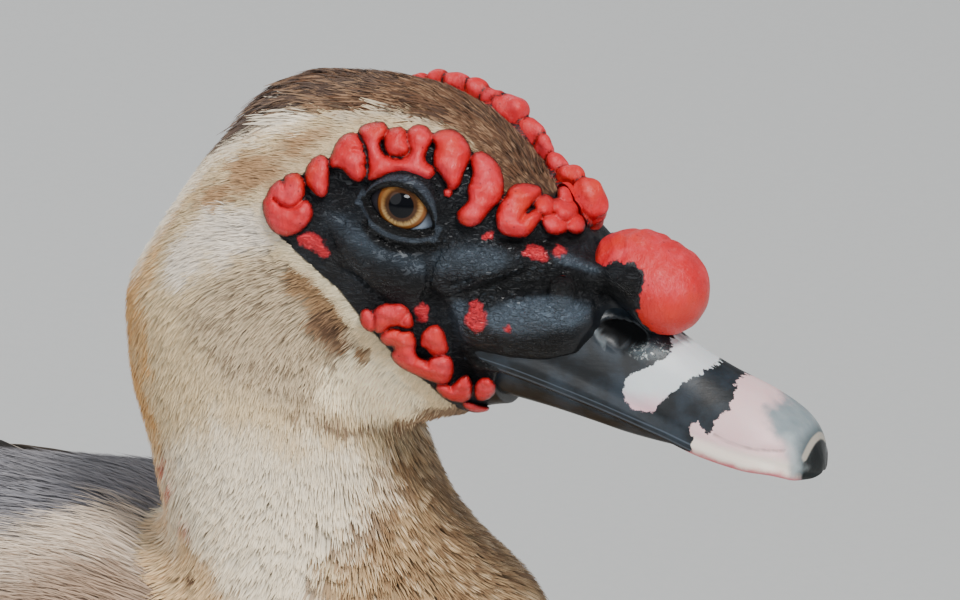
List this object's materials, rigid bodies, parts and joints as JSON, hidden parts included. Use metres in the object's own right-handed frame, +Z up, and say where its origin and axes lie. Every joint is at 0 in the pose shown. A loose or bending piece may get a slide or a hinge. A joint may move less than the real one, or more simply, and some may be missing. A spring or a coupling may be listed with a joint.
{
  "type": "muscovy duck figure",
  "caption": "Life-size standing Muscovy drake with pale fawn plumage, red facial caruncles and knob, banded bill and folded wings.",
  "frame": {"origin": "centre of the bounding box, on the floor under the soles", "axes": "+X forward to the bill tip, +Y to the bird's left, +Z up"},
  "size_m": [0.6466, 0.2006, 0.3527],
  "materials": {
    "plumage": "soft layered contour feathers, fawn and buff with darker streaks, matte",
    "head": "short dense feathers around bare black wrinkled face skin",
    "flight_feathers": "overlapping blue-grey and taupe vanes with a slight sheen",
    "tail_feathers": "broad overlapping grey-taupe vanes",
    "bill": "smooth horn, black with white and pink bands and a black nail",
    "caruncle": "moist bare red skin in bulbs and folds",
    "eye": "amber iris under a clear wet surface",
    "leg_skin": "scaled dull olive-grey skin with horn claws"
  },
  "bodies": {
    "root": {"torso": "plumage", "neck_lower": "plumage", "neck_upper": "plumage", "head": "head", "bill_upper": "bill", "bill_lower": "bill", "knob": "caruncle", "tail": "tail_feathers", "eye_left": "eye", "brow_caruncles_left": "caruncle", "cheek_caruncles_left": "caruncle", "wing_left": "flight_feathers", "shank_left": "leg_skin", "foot_left": "leg_skin", "eye_right": "eye", "brow_caruncles_right": "caruncle", "cheek_caruncles_right": "caruncle", "wing_right": "flight_feathers", "shank_right": "leg_skin", "foot_right": "leg_skin"}
  },
  "joints": []
}
